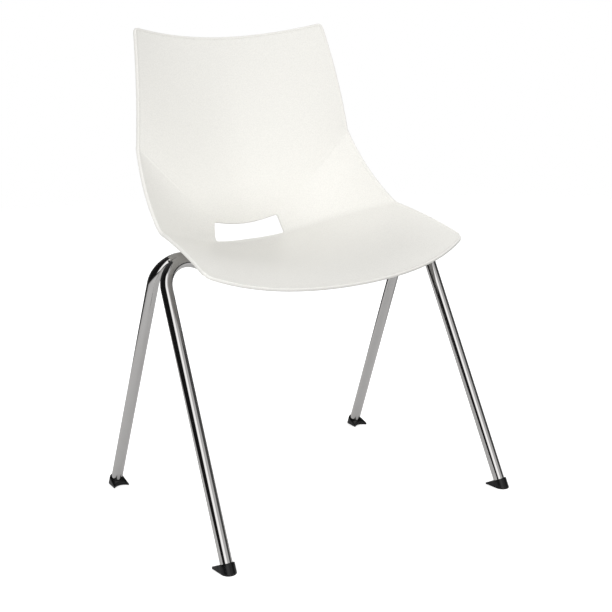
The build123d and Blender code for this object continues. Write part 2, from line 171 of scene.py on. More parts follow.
class TubeSettings(bpy.types.PropertyGroup):
    """Fineness and finish of the leg tubes."""
    sides: bpy.props.IntProperty(
        name="Sides", description="Faces around a tube", default=48, min=12)
    colour: bpy.props.FloatVectorProperty(
        name="Colour", description="Colour of the chrome plate", default=(0.82, 0.805, 0.795),
        subtype="COLOR", min=0.0, max=1.0)
    roughness: bpy.props.FloatProperty(
        name="Roughness", description="Roughness of the chrome plate", default=0.05, subtype="FACTOR",
        min=0.0, max=1.0)


class FootSettings(bpy.types.PropertyGroup):
    """Edges and colour of the feet."""
    edge: bpy.props.FloatProperty(
        name="Edge", description="Rounding of a foot's edges", default=0.0007, unit="LENGTH")
    colour: bpy.props.FloatVectorProperty(
        name="Colour", description="Colour of the feet, clips and pads", default=(0.005, 0.005, 0.0055),
        subtype="COLOR", min=0.0, max=1.0)


class StageSettings(bpy.types.PropertyGroup):
    """Floor and light."""
    floor_colour: bpy.props.FloatVectorProperty(
        name="Floor", description="Colour of the floor", default=(0.92, 0.92, 0.92), subtype="COLOR",
        min=0.0, max=1.0)
    floor_radius: bpy.props.FloatProperty(
        name="Floor radius", description="Where the lit part of the floor ends in reflections",
        default=1.15, unit="LENGTH")
    floor_glow: bpy.props.FloatProperty(
        name="Floor glow", description="Light that the floor adds to what the camera sees of it",
        default=0.5, min=0.0)
    key_power: bpy.props.FloatProperty(
        name="Key light", description="Power of the soft side light", default=3.4, unit="POWER")
    ambient: bpy.props.FloatProperty(
        name="Ambient", description="Strength of the light from all round", default=0.885, min=0.0)
    ambient_lean: bpy.props.FloatProperty(
        name="Ambient lean", description="How much stronger that light is from the lit side", default=0.20,
        min=0.0)


# ---- mesh helpers

MERGE_DISTANCE = 2e-6
COLLAPSE_DISTANCE = 1e-7


def grid_quads(rows, columns, start=0, wrap=False):
    """Quads between neighbours of a rows by columns grid of vertices, numbered row by row."""
    across = columns if wrap else columns - 1
    row, column = np.meshgrid(np.arange(rows - 1), np.arange(across), indexing="ij")
    following = (column + 1) % columns
    quads = [row * columns + column, row * columns + following,
             (row + 1) * columns + following, (row + 1) * columns + column]
    return start + np.stack(quads, -1).reshape(-1, 4)


class Patchwork:
    """Collects grids of points into one list of vertices and faces."""

    def __init__(self):
        self.points, self.faces, self.count = [], [], 0

    def grid(self, points, wrap=False, hole=None):
        """Adds a (rows, columns, 3) grid; hole is a (rows, columns) range left without faces."""
        rows, columns = points.shape[:2]
        quads = grid_quads(rows, columns, self.count, wrap)
        if hole:
            (row_a, row_b), (col_a, col_b) = hole
            row, column = np.divmod(quads[:, 0] - self.count, columns)
            quads = quads[~((row >= row_a) & (row < row_b) & (column >= col_a) & (column < col_b))]
        self.points.append(points.reshape(-1, 3))
        self.faces.append(quads)
        self.count += rows * columns

    def fan(self, loop, centre):
        """Closes a loop of points with triangles to a centre."""
        number = len(loop)
        index = np.arange(number)
        self.points.append(np.vstack([loop, centre]))
        self.faces.append(self.count + np.stack([index, (index + 1) % number, np.full(number, number)], -1))
        self.count += number + 1

    def finish(self, name):
        """The piece made of all the grids, merged where they meet, with faces outwards and smooth shading."""
        mesh = bpy.data.meshes.new(name)
        faces = [face.tolist() for block in self.faces for face in block]
        mesh.from_pydata(np.vstack(self.points).tolist(), [], faces)
        work = bmesh.new()
        work.from_mesh(mesh)
        bmesh.ops.remove_doubles(work, verts=work.verts, dist=MERGE_DISTANCE)
        bmesh.ops.dissolve_degenerate(work, edges=work.edges, dist=COLLAPSE_DISTANCE)
        bmesh.ops.recalc_face_normals(work, faces=work.faces)
        work.to_mesh(mesh)
        work.free()
        mesh.polygons.foreach_set("use_smooth", np.ones(len(mesh.polygons), bool))
        piece = bpy.data.objects.new(name, mesh)
        bpy.context.scene.collection.objects.link(piece)
        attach(piece, BODY)
        return piece


def unit(vectors):
    """Vectors scaled to length 1."""
    return vectors / np.maximum(np.linalg.norm(vectors, axis=-1, keepdims=True), 1e-12)


def smooth_step(x):
    """0 below 0, 1 above 1, and 3 x squared minus 2 x cubed between them."""
    x = np.clip(x, 0, 1)
    return x * x * (3 - 2 * x)


def close_to_ends(count, strength_start, strength_end, fade=9):
    """Numbers from 0 to 1 whose steps shrink towards an end as its strength grows; 0 leaves it even."""
    steps = np.linspace(0, 1, count)
    weight = 1 / (1 + strength_start * np.exp(-steps * fade) + strength_end * np.exp(-(1 - steps) * fade))
    total = np.concatenate([[0], np.cumsum((weight[1:] + weight[:-1]) / 2)])
    return total / total[-1]


# ---- the shell's surface

def across(u, middle, edge, quartic=0.0):
    """Middle at u = 0, edge at u = 1 and -1, with an even polynomial of fourth degree between them."""
    return middle + (edge - middle) * ((1 - quartic) * u ** 2 + quartic * u ** 4)


def line_at(line, u):
    """Depth and height of a cross line at u."""
    middle, edge, quartic = line
    return tuple(across(u, m, e, q) for m, e, q in zip(middle, edge, quartic))


def crease_at(u):
    """The crease: its height is a hyperbola, straight towards the edges and rounded in the middle."""
    middle, edge, _ = CREASE_LINE
    rise = edge[1] - middle[1] + CREASE_SOFTNESS
    slope = math.sqrt(rise ** 2 - CREASE_SOFTNESS ** 2)
    height = middle[1] - CREASE_SOFTNESS + np.hypot(CREASE_SOFTNESS, slope * u)
    return line_at(CREASE_LINE, u)[0], height


def cross_lines(u):
    """Depths and heights at u of the top edge, the crease, the fold and the front edge."""
    return line_at(TOP_LINE, u), crease_at(u), line_at(FOLD_LINE, u), line_at(FRONT_LINE, u)


def stretch_lengths(u):
    """Straight lengths of the back, the wing and the seat at u."""
    lines = cross_lines(u)
    return [np.hypot(b[0] - a[0], b[1] - a[1]) for a, b in zip(lines[:-1], lines[1:])]


def side_at(depth, height):
    """How far the shell's side edge is from the middle at a depth and a height."""
    return SIDE_OFFSET + SIDE_PER_DEPTH * depth + SIDE_PER_HEIGHT * height


def sharp_point(u, run):
    """Front surface before its creases are rounded. run is the distance in metres down from the top edge.

    Each stretch goes straight from one cross line to the next, plus a bow: the back's towards the sitter, the
    wing's outwards with the square of u, and the seat's up or down by a dip that turns to a crown at the front.
    """
    lines, lengths = cross_lines(u), stretch_lengths(u)
    first, second = lengths[0], lengths[0] + lengths[1]
    shares = [run / lengths[0], (run - first) / lengths[1], (run - second) / lengths[2]]
    humps = [4 * s * (1 - s) for s in shares]
    depths, heights = [], []
    for (start, end), s in zip(zip(lines[:-1], lines[1:]), shares):
        depths.append(start[0] + (end[0] - start[0]) * s)
        heights.append(start[1] + (end[1] - start[1]) * s)
    depths[0] = depths[0] - LUMBAR_BOW * humps[0]
    depths[1] = depths[1] + WING_BOW * u ** 2 * humps[1] * WING_NORMAL[0]
    heights[1] = heights[1] + WING_BOW * u ** 2 * humps[1] * WING_NORMAL[1]
    heights[2] = heights[2] + across(u, SEAT_DIP + SEAT_CROWN * shares[2], SEAT_EDGE_BOW) * humps[2]
    where = [run < first, run < second]
    depth = np.select(where, depths[:2], depths[2])
    height = np.select(where, heights[:2], heights[2])
    return np.stack([u * side_at(depth, height), depth, height], -1)


RIDGE_HEIGHT = 0.0008
RIDGE_WIDTHS = (0.014, 0.0030)
RIDGE_START, RIDGE_GROWTH = 0.42, 0.35
FOLD_REACH = 0.03
BLEND_TAPS = np.linspace(-1, 1, 9)
BLEND_WEIGHTS = (1 - BLEND_TAPS ** 2 * 0.9) / np.sum(1 - BLEND_TAPS ** 2 * 0.9)


def smooth_point(u, run, shell):
    """Front surface with its creases rounded: the average of the sharp one over a short window along run.

    The window is wider near the fold, and shrinks at the shell's top and front edges.
    """
    lengths = stretch_lengths(u)
    to_fold = np.abs(run - lengths[0] - lengths[1])
    near_fold = 1 - smooth_step(to_fold / FOLD_REACH)
    window = shell.crease_blend + (shell.fold_blend - shell.crease_blend) * near_fold
    window = np.minimum(window, np.minimum(np.abs(run), np.abs(sum(lengths) - run)) + 1e-4)
    return sum(w * sharp_point(u, run + tap * window) for tap, w in zip(BLEND_TAPS, BLEND_WEIGHTS))


def surface_normal(u, run, shell):
    """Unit normal that points away from the sitter, from differences along u and run."""
    du, dr = 2e-3, 6e-4
    crosswise = smooth_point(u + du, run, shell) - smooth_point(u - du, run, shell)
    lengthwise = smooth_point(u, run + dr, shell) - smooth_point(u, run - dr, shell)
    return unit(np.cross(crosswise, lengthwise))


def both_faces(u, run, shell):
    """Front and back surface, and the normal. The back one is one wall behind the front one.

    On the front a low ridge follows the crease near the edges: it rises gently from the back rest and drops
    sharply to the wing.
    """
    place, normal = smooth_point(u, run, shell), surface_normal(u, run, shell)
    past = run - stretch_lengths(u)[0]
    ridge = np.clip(np.where(past < 0, 1 + past / RIDGE_WIDTHS[0], 1 - past / RIDGE_WIDTHS[1]), 0, 1)
    ridge = RIDGE_HEIGHT * ridge ** 2 * smooth_step((np.abs(u) - RIDGE_START) / RIDGE_GROWTH)
    return place - normal * ridge[..., None], place + normal * shell.wall, normal


def run_of(u, v):
    """Distance down from the top edge at v, where v is 0, 1, 2, 3 at the four cross lines."""
    return sum(np.clip(v - k, 0, 1) * length for k, length in enumerate(stretch_lengths(u)))


def total_run(u):
    """Distance from the top edge to the front edge at u."""
    return sum(stretch_lengths(u))


def half_width(run):
    """Half the shell's width at a distance down from the top edge."""
    return sharp_point(np.ones_like(run), run)[..., 0]


# ---- the shell's mesh

# A field of quads covers the shell but for a strip along its edges and a window round the slot, whose places
# are its u and its first and last v. Rings of quads fill the strip and the window.
FIELD_INSET = 0.020
FIELD_FADE = 0.16
FIELD_HALF_WIDTH = 0.24
FIELD_COLUMNS = 113
SLOT_WINDOW = (0.36, 0.90, 2.06)
CORNER_REACH = 0.06
BACK_ROWS, WING_ROWS, SEAT_ROWS = 70, 34, 78
RIM_DISTANCES = np.array([0.0070, 0.0056, 0.0051, 0.0047, 0.0043, 0.0039, 0.0035, 0.0031, 0.0026, 0.0020])
BEAD_WIDTH = 0.0030
BEAD_FADE = 0.0021
RIM_STEPS = 5
SLOT_RINGS = np.array([0.0, 0.14, 0.28, 0.42, 0.55, 0.67, 0.76, 0.82])


def field_columns():
    """u of the field's columns, closer together near the side edges, and how many columns reach the window."""
    right = close_to_ends(FIELD_COLUMNS // 2 + 1, 0, 2.5) * (1 - FIELD_INSET / FIELD_HALF_WIDTH)
    return np.concatenate([-right[:0:-1], right]), np.argmin(np.abs(right - SLOT_WINDOW[0]))


def field_rows():
    """v of the field's rows, closer together near the top, the crease, the fold and the front."""
    back = close_to_ends(BACK_ROWS, 2.5, 4)
    wing = close_to_ends(WING_ROWS, 3, 3)
    seat = close_to_ends(SEAT_ROWS, 4, 2.5)
    return np.concatenate([back, 1 + wing[1:], 2 + seat[1:]])


def field_grid():
    """u and run of every vertex in the field, which stays an inset away from the shell's edges."""
    columns, window = field_columns()
    v, u = np.meshgrid(field_rows(), columns, indexing="ij")
    run, total = run_of(u, v), total_run(u)
    from_top, from_front = (FIELD_INSET * (1 - smooth_step(way / FIELD_FADE)) for way in (run, total - run))
    return u, run + from_top - from_front, v, window


def round_corner(along, lead, radius):
    """Where border points go near a corner: distances from the far edge and along this one.

    The first point goes to the middle of the corner's arc, and the next ones follow the arc and then the edge.
    """
    half_arc = radius * math.pi / 4
    extra = lead - radius + half_arc
    travel = along - lead + extra * smooth_step((along - lead) / CORNER_REACH)
    angle = np.maximum(math.pi / 4 - travel / radius, 0)
    on_arc = travel < half_arc
    inset = np.where(on_arc, radius * (1 - np.cos(angle)), 0)
    place = np.where(on_arc, radius * (1 - np.sin(angle)), radius + travel - half_arc)
    return inset, place, np.where(on_arc, angle, 0)


def edge_side(along, total, radius_start, radius_end):
    """Boundary points of one side: distance in from its edge, distance along it, and the outward direction."""
    from_start = along < total / 2
    lead_start, lead_end = along[0], total[-1] - along[-1]
    inset_a, place_a, angle_a = round_corner(along, lead_start, radius_start)
    inset_b, place_b, angle_b = round_corner(total - along, lead_end, radius_end)
    inset = np.where(from_start, inset_a, inset_b)
    place = np.where(from_start, place_a, total - place_b)
    turn = np.where(from_start, -angle_a, angle_b)
    return inset, place, np.cos(turn), np.sin(turn)


def boundary(u, run):
    """Rim points once round the shell: u, run, and the outward direction's sideways and downwards parts."""
    total = total_run(np.array(1.0))
    corners = TOP_CORNER_RADIUS, FRONT_CORNER_RADIUS
    sides, ends = [], []
    for column, sign in ((-1, 1), (0, -1)):
        along = run[:, column]
        inset, place, out, down = edge_side(along, np.full_like(along, total), *corners)
        sides.append((sign * (1 - inset / half_width(place)), place, sign * out, down))
    for row, radius in zip((0, -1), corners):
        width = half_width(np.clip(run[row], 0, total) if row == 0 else np.full_like(run[row], total))
        inset, place, out, sideways = edge_side((u[row] + 1) * width, 2 * width, radius, radius)
        place = place / width - 1
        end = (inset, sideways, -out) if row == 0 else (total_run(place) - inset, sideways, out)
        ends.append((place, *end))
    (right, left), (top, bottom) = sides, ends
    forwards = [[values[:-1] for values in part] for part in (top, right)]
    backwards = [[values[:0:-1] for values in part] for part in (bottom, left)]
    return [np.concatenate(parts) for parts in zip(*forwards, *backwards)]


def border(u, run):
    """The field's own border, in the same order as the boundary."""
    def walk(a):
        return np.concatenate([a[0, :-1], a[:-1, -1], a[-1, :0:-1], a[:0:-1, 0]])
    return walk(u), walk(run)


def shifted(u, run, sideways, downwards, distance):
    """u and run of points moved inwards by a distance on the surface."""
    return u - sideways * distance / half_width(np.clip(run, 0, None)), run - downwards * distance


def between(start, end, share):
    """u and run a share of the way from one ring of points to another."""
    return [a + (b - a) * share for a, b in zip(start, end)]


def rim_rings(u, run, shell):
    """Front and back rings from the field's border to the rim, and the rim's rounded edge between them.

    The front rings rise by the bead near the rim, along a smooth step of the distance from the edge.
    """
    edge = boundary(u, run)
    inner, outer = border(u, run), shifted(*edge, RIM_DISTANCES[0])
    rings = [(between(inner, outer, share), FIELD_INSET) for share in (0.0, 0.25, 0.5, 0.75)]
    rings += [(shifted(*edge, distance), distance) for distance in RIM_DISTANCES]
    fronts, backs = [], []
    for ring, distance in rings:
        front, back, normal = both_faces(*ring, shell)
        lift = shell.bead * (1 - smooth_step((distance - BEAD_WIDTH) / BEAD_FADE))
        fronts.append(front - normal * lift)
        backs.append(back)
    place = smooth_point(*edge[:2], shell)
    close = shifted(*edge, 1e-3)
    outward, normal = unit(place - smooth_point(*close, shell)), surface_normal(*close, shell)
    radius = shell.rim_corner
    angles = np.linspace(0, math.pi / 2, RIM_STEPS)
    turns = [(radius * (math.sin(a) - 1), radius * (1 - math.cos(a))) for a in angles]
    arc = [place + outward * out + normal * (off - shell.bead) for out, off in turns]
    arc += [place + outward * out + normal * (shell.wall - off) for out, off in turns[::-1]]
    return np.array(fronts + arc + backs[::-1])


def along_line(line, places):
    """Points of a flat line at distances along it, which are worked out from its length."""
    length = np.concatenate([[0], np.cumsum(np.linalg.norm(np.diff(line, axis=0), axis=1))])
    return np.stack([np.interp(places(length[-1]), length, line[:, k]) for k in range(2)], -1)


def slot_outline(counts):
    """The slot's outline as four runs of points, right, bottom, left and top, cut at mid-corner.

    The top and bottom edges sag as parabolas, and each corner is a parabola between its two edges.
    """
    def edge(start, end, sag):
        t = np.linspace(0, 1, 60)[:, None]
        line = np.array(start) * (1 - t) + np.array(end) * t
        line[:, 1] -= sag * 4 * t[:, 0] * (1 - t[:, 0])
        return line

    def bend(start, corner, end, t):
        return start * (1 - t) ** 2 + 2 * corner * t * (1 - t) + end * t ** 2

    (top, high, top_sag), (bottom, low, bottom_sag) = SLOT_TOP, SLOT_BOTTOM
    corners = np.array([(top, high), (bottom, low), (-bottom, low), (-top, high)])
    sags = (0, bottom_sag, 0, top_sag)
    trimmed = [along_line(edge(corners[k], corners[(k + 1) % 4], sags[k]),
                          lambda whole: np.linspace(SLOT_CORNER, whole - SLOT_CORNER, 50)) for k in range(4)]
    sides = []
    s = np.linspace(0, 0.5, 9)[:, None]
    for k in range(4):
        following = (k + 1) % 4
        opening = bend(trimmed[k - 1][-1], corners[k], trimmed[k][0], s + 0.5)
        closing = bend(trimmed[k][-1], corners[following], trimmed[following][0], s)
        whole = np.vstack([opening[:-1], trimmed[k], closing[1:]])
        sides.append(along_line(whole, lambda length: close_to_ends(counts[k % 2], 2.5, 2.5) * length))
    return sides


SEARCH_HALF_WIDTH = 0.242
SLOT_LIMITS = (lambda u: np.full_like(u, 0.12), lambda u: run_of(u, 2.25))
BOSS_LIMITS = (lambda u: run_of(u, 2.0), total_run)


def surface_at(x, target, axis, limits, shell):
    """u, run and place of the front surface at this x and this depth (axis 1) or height (axis 2).

    The range of run between two limits, which are functions of u, is halved again and again.
    """
    u = x / SEARCH_HALF_WIDTH
    low, high = (limit(u) for limit in limits)
    for _ in range(40):
        run = (low + high) / 2
        place = smooth_point(u, run, shell)
        ahead = place[..., axis] > target
        low, high = np.where(ahead, run, low), np.where(ahead, high, run)
        u = x / side_at(place[..., 1], place[..., 2])
    return u, run, place


def slot_rings(u, run, rows, columns, shell):
    """Front and back rings from the field's window to the slot, and the slot's rounded wall between them."""
    (row_a, row_b), (col_a, col_b) = rows, columns

    def walk(a):
        return np.concatenate([a[row_a:row_b, col_b], a[row_b, col_b:col_a:-1],
                               a[row_b:row_a:-1, col_a], a[row_a, col_a:col_b]])
    window_u, window_run = walk(u), walk(run)
    sides = slot_outline((row_b - row_a + 1, col_b - col_a + 1))
    outline = np.concatenate([side[:-1] for side in sides])
    slot_u, slot_run, _ = surface_at(outline[:, 0], outline[:, 1], 2, SLOT_LIMITS, shell)
    edge = smooth_point(slot_u, slot_run, shell)
    normal = surface_normal(slot_u, slot_run, shell)
    tangent = unit(np.roll(edge, -1, 0) - np.roll(edge, 1, 0))
    outward = unit(np.cross(normal, tangent))
    towards_window = smooth_point(window_u, window_run, shell) - edge
    outward = outward * np.sign(np.sum(outward * towards_window, -1, keepdims=True))
    window, slot = (window_u, window_run), (slot_u, slot_run)
    fronts, backs, _ = zip(*(both_faces(*between(window, slot, share), shell) for share in SLOT_RINGS))
    wall = []
    for angle in np.linspace(0, math.pi / 2, 7):
        wall.append(edge + (outward * (1 - math.sin(angle)) + normal * (1 - math.cos(angle))) * SLOT_FRONT_EDGE)
    for angle in np.linspace(math.pi / 2, 0, 5):
        off = shell.wall - SLOT_BACK_EDGE * (1 - math.cos(angle))
        wall.append(edge + outward * SLOT_BACK_EDGE * (1 - math.sin(angle)) + normal * off)
    return np.array([*fronts, *wall, *backs[::-1]])


def boss_places():
    """Lower end, upper end and axis of each insert under the seat, from the CAD inserts."""
    mesh = frame["nodes"]["shell_inserts"].data
    points = np.zeros(len(mesh.vertices) * 3, np.float32)
    mesh.vertices.foreach_get("co", points)
    points = points.reshape(-1, 3)
    middle = (points.min(0) + points.max(0)) / 2
    places = []
    for side in (-1, 1):
        for end in (-1, 1):
            own = points[((points[:, 0] - middle[0]) * side > 0) & ((points[:, 1] - middle[1]) * end > 0)]
            centre = own.mean(0)
            spread = np.linalg.svd(own - centre, full_matrices=False)[2]
            axis = spread[np.argmax(np.abs(spread[:, 2]))]
            axis = axis * np.sign(axis[2])
            reach = (own - centre) @ axis
            places.append((centre + axis * reach.min(), centre + axis * reach.max(), axis))
    return places


def turned(profile, origin, axis, count=40):
    """Surface of revolution: (radius, distance along the axis) pairs carried round the axis, as a grid."""
    side = unit(np.cross(axis, [0.0, 1.0, 0.0]))
    other = np.cross(axis, side)
    turn = np.linspace(0, 2 * math.pi, count, endpoint=False)
    ring = np.cos(turn)[:, None] * side + np.sin(turn)[:, None] * other
    profile = np.asarray(profile)
    return origin + profile[:, :1, None] * ring[None] + profile[:, 1:, None] * np.asarray(axis)


def quarter_round(radius, start, end, steps=5):
    """Offsets of a rounded edge of this radius, between two angles in degrees."""
    angles = np.radians(np.linspace(start, end, steps))
    return radius * np.stack([np.cos(angles), np.sin(angles)], -1)


def add_bosses(work, shell):
    """Round posts under the seat that hold the inserts: a straight post with a flared root at the shell."""
    for low, high, axis in boss_places():
        place = surface_at(low[:1], low[1], 1, BOSS_LIMITS, shell)[2]
        height = (place[0, 2] - shell.wall - low[2]) / axis[2]
        depth = float(np.dot(high - low, axis))
        reach = BOSS_RADIUS + BOSS_FLARE
        foot = quarter_round(BOSS_EDGE, 270, 360) + [BOSS_RADIUS - BOSS_EDGE, BOSS_EDGE]
        root = quarter_round(BOSS_FLARE, 180, 90) + [reach, height - BOSS_FLARE]
        profile = [(BOSS_BORE, depth), (BOSS_BORE, 0.0003), *foot, *root, (reach + 0.001, height + 0.002)]
        work.grid(turned(profile, low, axis), wrap=True)


def make_shell(shell):
    """The shell: front and back fields, rings to the rim and to the slot, and the bosses underneath."""
    u, run, v, window = field_grid()
    middle = u.shape[1] // 2
    columns = (middle - window, middle + window)
    rows = tuple(int(np.argmin(np.abs(v[:, 0] - limit))) for limit in SLOT_WINDOW[1:])
    front, back, _ = both_faces(u, run, shell)
    work = Patchwork()
    work.grid(front, hole=(rows, columns))
    work.grid(back[:, ::-1], hole=(rows, (u.shape[1] - 1 - columns[1], u.shape[1] - 1 - columns[0])))
    work.grid(rim_rings(u, run, shell), wrap=True)
    work.grid(slot_rings(u, run, rows, columns, shell), wrap=True)
    add_bosses(work, shell)
    return work.finish("moulded_shell")


# ---- the tubes

def leg_corner(leg):
    """In the tube's own plane: half width and height where a leg's line would meet the crossbar's slope."""
    slope, splay = math.radians(CROSSBAR_SLOPE), math.radians(leg["splay"])
    crest = leg["crest"] / math.cos(math.radians(leg["lean"]))
    rise = crest + BEND_RADIUS * ((1 + math.sin(slope)) / math.cos(slope) - 1)
    return leg["half_width"] - rise * math.tan(splay), rise


def arc_points(corner, before, after, radius, steps):
    """Points of the arc of a radius that is tangent to the two lines through a corner."""
    a, b = unit(before - corner), unit(after - corner)
    half = math.acos(float(np.clip(a @ b, -1, 1))) / 2
    centre = corner + unit(a + b) * radius / math.sin(half)
    start, end = corner + a * radius / math.tan(half) - centre, corner + b * radius / math.tan(half) - centre
    sweep = math.pi - 2 * half
    t = np.linspace(0, 1, steps)[:, None]
    return centre + (start * np.sin((1 - t) * sweep) + end * np.sin(t * sweep)) / math.sin(sweep)


def tube_path(leg):
    """The tube's axis in its own plane: a straight leg, an arc, a straight, half the crossbar, all mirrored.

    A point close to each end keeps the shading of the tube's wall apart from that of its end.
    """
    half_width, rise = leg_corner(leg)
    splay, lean = math.radians(leg["splay"]), math.radians(leg["lean"])
    vertex = rise - half_width * math.tan(math.radians(CROSSBAR_SLOPE))
    tilt = math.acos(math.cos(splay) * math.cos(lean))
    lift = SOCKET_FLOOR + (TUBE_RADIUS + SOCKET_CLEARANCE) * math.sin(tilt)
    start_rise = lift / math.cos(lean) + WASHER_THICKNESS * math.cos(splay)
    start = np.array([leg["half_width"] - start_rise * math.tan(splay), start_rise])
    corner, middle = np.array([half_width, rise]), np.array([0.0, vertex])
    bend = arc_points(corner, start, middle, BEND_RADIUS, 33)
    bar = arc_points(middle, corner, corner * [-1, 1], CROSSBAR_RADIUS, 61)
    shares = np.concatenate([[0.0, 0.001], np.linspace(0, 1, 24)[1:-1]])
    straight = start + (bend[0] - start) * shares[:, None]
    right = np.vstack([straight, bend, bar[:31]])
    return np.vstack([right, right[-2::-1] * [-1, 1]])


def swept_tube(path, leg, radius, sides):
    """Circles of one radius carried along a flat path in the leg's leaning plane, each square to the path."""
    turn = math.radians(leg["lean"])
    up, square = np.array([0, math.sin(turn), math.cos(turn)]), np.array([0, -math.cos(turn), math.sin(turn)])
    place = np.array([0, leg["depth"], 0]) + path[:, :1] * np.array([1.0, 0, 0]) + path[:, 1:] * up
    side = np.cross(unit(np.gradient(place, axis=0)), square)
    angle = np.linspace(0, 2 * math.pi, sides, endpoint=False)
    ring = np.cos(angle)[None, :, None] * side[:, None] + np.sin(angle)[None, :, None] * square
    return place[:, None] + ring * radius


def make_tube(end, tube):
    """Tube with its bore: outer and inner skins along one path, closed by a flat ring at each end."""
    path = tube_path(LEGS[end])
    outer, inner = (swept_tube(path, LEGS[end], radius, tube.sides) for radius in (TUBE_RADIUS, TUBE_BORE))
    work = Patchwork()
    work.grid(outer, wrap=True)
    work.grid(inner, wrap=True)
    for index in (0, -1):
        work.grid(np.stack([outer[index], inner[index]]), wrap=True)
    piece = work.finish(end + "_chrome_tube")
    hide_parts(end + "_leg_frame")
    return piece


# ---- the feet

def foot_outline(stretch, count_heel=33, count_side=14, count_notch=25):
    """Outline of a foot's sole: a rounded heel, straight flanks, and two horns with a hollow between them.

    The heel is the round cup cut level, so it is longer than round by the stretch that the leg's lean gives.
    """
    heel_angle = np.linspace(math.pi, 2 * math.pi, count_heel)
    heel = FOOT_RADIUS * np.stack([np.cos(heel_angle), stretch * np.sin(heel_angle)], -1)
    tip = np.array([HORN_SPREAD, HORN_REACH])
    flank = heel[-1] + (tip - heel[-1]) * np.linspace(0, 1, count_side)[1:, None]
    t = np.linspace(0, 1, count_notch)[1:-1]
    way = 1 - 2 * t
    hollow = np.stack([HORN_SPREAD * way, HORN_NOTCH + (HORN_REACH - HORN_NOTCH) * way ** 2], -1)
    return np.vstack([heel, flank, hollow, flank[::-1] * [-1, 1]])


def inset_outline(outline, distance):
    """Outline moved in by a distance along its own normals, which are limited where it turns sharply."""
    ahead, behind = unit(np.roll(outline, -1, 0) - outline), unit(outline - np.roll(outline, 1, 0))
    mean = ahead + behind
    length = np.maximum(np.linalg.norm(mean, axis=1, keepdims=True), 0.9)
    mean = mean / length
    return outline - distance * np.stack([mean[:, 1], -mean[:, 0]], -1)


HORN_START, HORN_GROWTH = 0.002, 0.012
MOUTH_LIP = 0.0008
MOUTH_DEPTH = 0.0006
FLANK_RINGS = 6
SOLE_CENTRE = 0.004


def make_foot(end, side_name, settings):
    """Foot: sole, flanks and a mouth square to the leg, as rings of one outline; the bore follows the tube."""
    leg, side = LEGS[end], SIDES[side_name]
    lean, splay = math.radians(leg["lean"]), math.radians(leg["splay"])
    upward = math.cos(splay)
    direction = np.array([-side * math.sin(splay), math.sin(lean) * upward, math.cos(lean) * upward])
    outline = foot_outline(1 / direction[2])
    edge, bore = settings.edge, TUBE_RADIUS + SOCKET_CLEARANCE
    rim = np.array([0.0, leg["inward"] * HORN_REACH, HORN_TIP_HEIGHT])
    upright = 1 - smooth_step((outline[:, 1] - HORN_START) / HORN_GROWTH)

    def ring(flat, height):
        """Outline at a height; the cup's part leans with the leg and the horns stand upright."""
        height = np.zeros(len(flat)) + height
        shift = direction[:2] / direction[2] * (height * upright)[:, None]
        return np.column_stack([flat * [1.0, leg["inward"]] + shift, height])

    def mouth_height(flat):
        """Height where a ring's points meet the mouth's plane."""
        height = 0.01
        for _ in range(12):
            height = height - ((ring(flat, height) - rim) @ direction) / direction[2] * 0.8
        return height

    soft, softer = inset_outline(outline, edge), inset_outline(outline, edge * 0.3)
    drop = direction[2] * edge
    high = np.maximum(mouth_height(outline) - drop, edge * 1.2)
    rings = [ring(soft, 0), ring(softer, edge * 0.3)]
    rings += [ring(outline, edge + (high - edge) * share) for share in np.linspace(0, 1, FLANK_RINGS)]
    rings.append(ring(softer, np.maximum(mouth_height(softer) - drop * 0.3, edge * 1.4)))
    rings.append(ring(soft, np.maximum(mouth_height(soft), edge * 1.5)))
    angle = np.arctan2(outline[:, 1] * leg["inward"], outline[:, 0])
    across_leg = unit(np.array([1.0, 0, 0]) - direction[0] * direction)
    circle = np.cos(angle)[:, None] * across_leg + np.sin(angle)[:, None] * np.cross(direction, across_leg)
    mouth = direction * (rim @ direction)
    socket = direction * ((SOCKET_FLOOR + bore * math.sin(math.acos(direction[2]))) / direction[2])
    rings += [mouth + circle * (bore + MOUTH_LIP), mouth + circle * bore - direction * MOUTH_DEPTH,
              socket + circle * bore]
    floor_point = np.array([side * leg["half_width"], leg["depth"], 0.0])
    grid = np.array(rings) + floor_point
    work = Patchwork()
    work.grid(grid, wrap=True)
    work.fan(grid[0], floor_point + [[0, leg["inward"] * SOLE_CENTRE, 0]])
    work.fan(grid[-1], floor_point + [socket])
    piece = work.finish(f"{end}_{side_name}_glide")
    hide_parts(f"{end}_{side_name}_foot")
    return piece


# ---- shader groups and materials

def feed(node, *in_order, **named):
    """Fills a node's inputs, in order or by name: a socket is linked to them and anything else is set."""
    named = {key.replace("_", " "): value for key, value in named.items()}
    for place, value in (*enumerate(in_order), *named.items()):
        if isinstance(value, bpy.types.NodeSocket):
            node.id_data.links.new(value, node.inputs[place])
        else:
            node.inputs[place].default_value = value
    return node


def add_node(tree, kind, *in_order, settings=(), **named):
    """New node with its settings and inputs."""
    node = tree.nodes.new("ShaderNode" + kind)
    for key, value in dict(settings).items():
        setattr(node, key, value)
    return feed(node, *in_order, **named)


def arithmetic(tree, operation, first, second):
    """Result of a math node on two sockets or numbers."""
    return add_node(tree, "Math", first, second, settings={"operation": operation}).outputs[0]


def measure(tree, operation, *vectors):
    """Number that a vector math node makes of one or two vectors."""
    return add_node(tree, "VectorMath", *vectors, settings={"operation": operation}).outputs["Value"]


def spread(tree, value, low, high, out_low, out_high):
    """Value taken from one range to another, and held at its ends."""
    return add_node(tree, "MapRange", value, low, high, out_low, out_high).outputs["Result"]


def mix_colours(tree, factor, first, second):
    """Colour between two others, each a socket or three numbers."""
    ends = (c if isinstance(c, bpy.types.NodeSocket) else (*c, 1) for c in (first, second))
    node = add_node(tree, "Mix", settings={"data_type": "RGBA"}, Factor=factor, **dict(zip("AB", ends)))
    return node.outputs["Result"]


